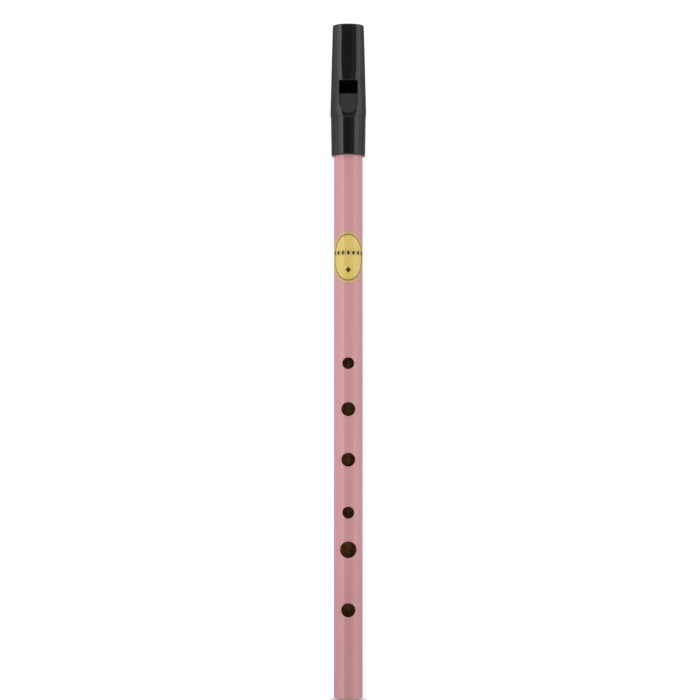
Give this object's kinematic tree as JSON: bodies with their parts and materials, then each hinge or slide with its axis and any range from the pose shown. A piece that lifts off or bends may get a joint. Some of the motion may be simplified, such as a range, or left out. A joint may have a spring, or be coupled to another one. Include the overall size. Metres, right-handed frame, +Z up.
{
  "type": "tin whistle",
  "caption": "End-blown whistle: a lacquered brass tube with a row of finger holes and a moulded mouthpiece that slides on it for tuning.",
  "frame": {"origin": "middle of the tube's foot, where the whistle stands", "axes": "+Z up the tube's axis to the mouthpiece, -Y out of the finger holes and the window, +X to the right as the holes face the viewer"},
  "size_m": [0.016, 0.016, 0.2995],
  "materials": {
    "pink_lacquer": "gloss",
    "gold_paper": "satin",
    "black_plastic": "gloss",
    "plug_plastic": "satin"
  },
  "bodies": {
    "tube": {"tube": "pink_lacquer", "label": "gold_paper"},
    "head": {"mouthpiece": "black_plastic", "fipple_plug": "plug_plastic"}
  },
  "joints": [
    {"name": "tuning_slide", "type": "slide", "parent": "tube", "child": "head", "axis": [0, 0, 1], "range_m": [0, 0.01]}
  ]
}
